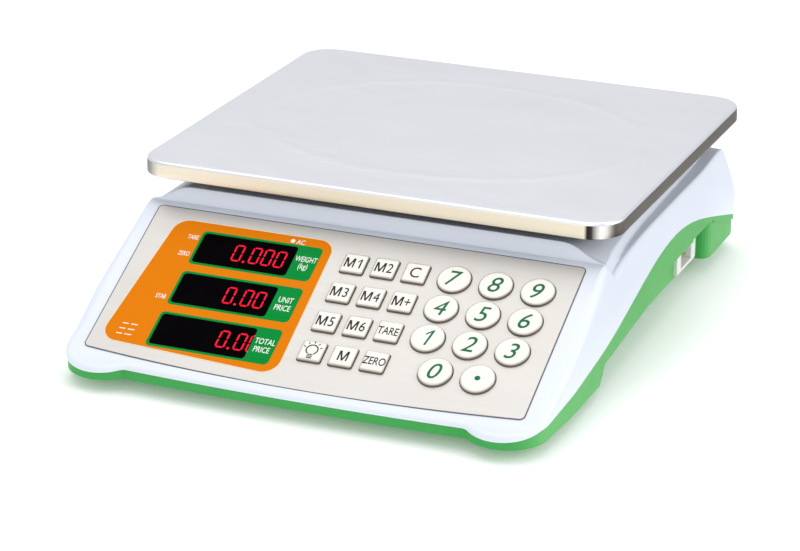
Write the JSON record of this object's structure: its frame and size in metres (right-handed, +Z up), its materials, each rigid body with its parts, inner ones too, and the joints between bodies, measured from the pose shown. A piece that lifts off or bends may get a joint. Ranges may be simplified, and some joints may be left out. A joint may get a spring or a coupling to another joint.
{
  "type": "retail price scale",
  "caption": "Counter price-computing scale: flat steel weighing pan on a low casing with a sloping front panel of digit windows and push keys, on levelling feet.",
  "frame": {"origin": "on the counter surface under the feet, at the middle of the footprint", "axes": "+Y from the keypad edge to the rear, +X to the right of a person facing the keypad, +Z up"},
  "size_m": [0.34, 0.435, 0.113],
  "materials": {
    "casing_white": "glossy moulded plastic",
    "base_green": "satin moulded plastic",
    "panel_steel": "brushed along the width",
    "label_orange": "printed film",
    "window_dark": "smoked, clear",
    "digit_red": "lit segments on a dark block",
    "board_green": "lacquered circuit board",
    "silicone_grey": "matt silicone",
    "key_steel": "satin caps",
    "pan_steel": "fine satin",
    "cast_grey": "sand cast",
    "cell_aluminium": "milled",
    "bolt_steel": "zinc plated",
    "pad_black": "matt",
    "cable_grey": "matt",
    "battery_grey": "satin",
    "core_dark": "laminated and lacquered",
    "inlet_white": "satin",
    "pin_brass": "plated",
    "switch_black": "satin",
    "rocker_red": "glossy"
  },
  "bodies": {
    "casing": {"top_casing": "casing_white", "bottom_casing": "base_green", "keypad_plate": "panel_steel", "display_label": "label_orange", "weight_window": "window_dark", "unit_window": "window_dark", "total_window": "window_dark", "weight_digits": "digit_red", "unit_digits": "digit_red", "total_digits": "digit_red", "display_board": "board_green", "keypad_board": "board_green", "keypad_membrane": "silicone_grey", "load_cell": "cell_aluminium", "load_cell_mount": "cast_grey", "load_cell_bolts": "bolt_steel", "overload_stops": "bolt_steel", "main_board": "board_green", "ribbon_cable": "cable_grey", "battery": "battery_grey", "battery_clamp": "bolt_steel", "transformer": "core_dark", "mains_inlet": "inlet_white", "inlet_pins": "pin_brass", "power_switch": "switch_black", "foot_inserts": "pin_brass", "casing_screws": "bolt_steel", "board_screws": "bolt_steel"},
    "platform": {"pan_support": "cast_grey", "pan_pads": "pad_black", "support_bolts": "bolt_steel"},
    "pan_plate": {"pan": "pan_steel"},
    "rocker": {"switch_rocker": "rocker_red"},
    "foot_front_left_body": {"foot_front_left": "pad_black"},
    "foot_front_right_body": {"foot_front_right": "pad_black"},
    "foot_rear_left_body": {"foot_rear_left": "pad_black"},
    "foot_rear_right_body": {"foot_rear_right": "pad_black"},
    "key_0_body": {"key_0": "key_steel"},
    "key_1_body": {"key_1": "key_steel"},
    "key_2_body": {"key_2": "key_steel"},
    "key_3_body": {"key_3": "key_steel"},
    "key_4_body": {"key_4": "key_steel"},
    "key_5_body": {"key_5": "key_steel"},
    "key_6_body": {"key_6": "key_steel"},
    "key_7_body": {"key_7": "key_steel"},
    "key_8_body": {"key_8": "key_steel"},
    "key_9_body": {"key_9": "key_steel"},
    "key_point_body": {"key_point": "key_steel"},
    "key_m1_body": {"key_m1": "key_steel"},
    "key_m2_body": {"key_m2": "key_steel"},
    "key_m3_body": {"key_m3": "key_steel"},
    "key_m4_body": {"key_m4": "key_steel"},
    "key_m5_body": {"key_m5": "key_steel"},
    "key_m6_body": {"key_m6": "key_steel"},
    "key_m_body": {"key_m": "key_steel"},
    "key_m_plus_body": {"key_m_plus": "key_steel"},
    "key_clear_body": {"key_clear": "key_steel"},
    "key_tare_body": {"key_tare": "key_steel"},
    "key_zero_body": {"key_zero": "key_steel"},
    "key_light_body": {"key_light": "key_steel"}
  },
  "joints": [
    {"name": "platform_deflection", "type": "slide", "parent": "casing", "child": "platform", "axis": [0, 0, -1], "range_m": [0, 0.0005], "stiffness_N_per_m": 100000, "springref_m": -0.0003, "deforming": ["load_cell"]},
    {"name": "pan_lift", "type": "slide", "parent": "platform", "child": "pan_plate", "axis": [0, 0, 1], "range_m": [0, 0.03]},
    {"name": "rocker_tilt", "type": "hinge", "parent": "casing", "child": "rocker", "pos_m": [0.118, 0.03, 0.0168], "axis": [0, -1, 0], "range_deg": [0, 11]},
    {"name": "foot_front_left_turn", "type": "hinge", "parent": "casing", "child": "foot_front_left_body", "pos_m": [-0.136, -0.176, 0], "axis": [0, 0, 1], "continuous": true},
    {"name": "foot_front_right_turn", "type": "hinge", "parent": "casing", "child": "foot_front_right_body", "pos_m": [0.136, -0.176, 0], "axis": [0, 0, 1], "continuous": true},
    {"name": "foot_rear_left_turn", "type": "hinge", "parent": "casing", "child": "foot_rear_left_body", "pos_m": [-0.136, 0.178, 0], "axis": [0, 0, 1], "continuous": true},
    {"name": "foot_rear_right_turn", "type": "hinge", "parent": "casing", "child": "foot_rear_right_body", "pos_m": [0.136, 0.178, 0], "axis": [0, 0, 1], "continuous": true},
    {"name": "key_0_press", "type": "slide", "parent": "casing", "child": "key_0_body", "axis": [0, 0.4695, -0.8829], "range_m": [0, 0.001], "stiffness_N_per_m": 600, "springref_m": -0.001},
    {"name": "key_1_press", "type": "slide", "parent": "casing", "child": "key_1_body", "axis": [0, 0.4695, -0.8829], "range_m": [0, 0.001], "stiffness_N_per_m": 600, "springref_m": -0.001},
    {"name": "key_2_press", "type": "slide", "parent": "casing", "child": "key_2_body", "axis": [0, 0.4695, -0.8829], "range_m": [0, 0.001], "stiffness_N_per_m": 600, "springref_m": -0.001},
    {"name": "key_3_press", "type": "slide", "parent": "casing", "child": "key_3_body", "axis": [0, 0.4695, -0.8829], "range_m": [0, 0.001], "stiffness_N_per_m": 600, "springref_m": -0.001},
    {"name": "key_4_press", "type": "slide", "parent": "casing", "child": "key_4_body", "axis": [0, 0.4695, -0.8829], "range_m": [0, 0.001], "stiffness_N_per_m": 600, "springref_m": -0.001},
    {"name": "key_5_press", "type": "slide", "parent": "casing", "child": "key_5_body", "axis": [0, 0.4695, -0.8829], "range_m": [0, 0.001], "stiffness_N_per_m": 600, "springref_m": -0.001},
    {"name": "key_6_press", "type": "slide", "parent": "casing", "child": "key_6_body", "axis": [0, 0.4695, -0.8829], "range_m": [0, 0.001], "stiffness_N_per_m": 600, "springref_m": -0.001},
    {"name": "key_7_press", "type": "slide", "parent": "casing", "child": "key_7_body", "axis": [0, 0.4695, -0.8829], "range_m": [0, 0.001], "stiffness_N_per_m": 600, "springref_m": -0.001},
    {"name": "key_8_press", "type": "slide", "parent": "casing", "child": "key_8_body", "axis": [0, 0.4695, -0.8829], "range_m": [0, 0.001], "stiffness_N_per_m": 600, "springref_m": -0.001},
    {"name": "key_9_press", "type": "slide", "parent": "casing", "child": "key_9_body", "axis": [0, 0.4695, -0.8829], "range_m": [0, 0.001], "stiffness_N_per_m": 600, "springref_m": -0.001},
    {"name": "key_point_press", "type": "slide", "parent": "casing", "child": "key_point_body", "axis": [0, 0.4695, -0.8829], "range_m": [0, 0.001], "stiffness_N_per_m": 600, "springref_m": -0.001},
    {"name": "key_m1_press", "type": "slide", "parent": "casing", "child": "key_m1_body", "axis": [0, 0.4695, -0.8829], "range_m": [0, 0.001], "stiffness_N_per_m": 600, "springref_m": -0.001},
    {"name": "key_m2_press", "type": "slide", "parent": "casing", "child": "key_m2_body", "axis": [0, 0.4695, -0.8829], "range_m": [0, 0.001], "stiffness_N_per_m": 600, "springref_m": -0.001},
    {"name": "key_m3_press", "type": "slide", "parent": "casing", "child": "key_m3_body", "axis": [0, 0.4695, -0.8829], "range_m": [0, 0.001], "stiffness_N_per_m": 600, "springref_m": -0.001},
    {"name": "key_m4_press", "type": "slide", "parent": "casing", "child": "key_m4_body", "axis": [0, 0.4695, -0.8829], "range_m": [0, 0.001], "stiffness_N_per_m": 600, "springref_m": -0.001},
    {"name": "key_m5_press", "type": "slide", "parent": "casing", "child": "key_m5_body", "axis": [0, 0.4695, -0.8829], "range_m": [0, 0.001], "stiffness_N_per_m": 600, "springref_m": -0.001},
    {"name": "key_m6_press", "type": "slide", "parent": "casing", "child": "key_m6_body", "axis": [0, 0.4695, -0.8829], "range_m": [0, 0.001], "stiffness_N_per_m": 600, "springref_m": -0.001},
    {"name": "key_m_press", "type": "slide", "parent": "casing", "child": "key_m_body", "axis": [0, 0.4695, -0.8829], "range_m": [0, 0.001], "stiffness_N_per_m": 600, "springref_m": -0.001},
    {"name": "key_m_plus_press", "type": "slide", "parent": "casing", "child": "key_m_plus_body", "axis": [0, 0.4695, -0.8829], "range_m": [0, 0.001], "stiffness_N_per_m": 600, "springref_m": -0.001},
    {"name": "key_clear_press", "type": "slide", "parent": "casing", "child": "key_clear_body", "axis": [0, 0.4695, -0.8829], "range_m": [0, 0.001], "stiffness_N_per_m": 600, "springref_m": -0.001},
    {"name": "key_tare_press", "type": "slide", "parent": "casing", "child": "key_tare_body", "axis": [0, 0.4695, -0.8829], "range_m": [0, 0.001], "stiffness_N_per_m": 600, "springref_m": -0.001},
    {"name": "key_zero_press", "type": "slide", "parent": "casing", "child": "key_zero_body", "axis": [0, 0.4695, -0.8829], "range_m": [0, 0.001], "stiffness_N_per_m": 600, "springref_m": -0.001},
    {"name": "key_light_press", "type": "slide", "parent": "casing", "child": "key_light_body", "axis": [0, 0.4695, -0.8829], "range_m": [0, 0.001], "stiffness_N_per_m": 600, "springref_m": -0.001}
  ]
}
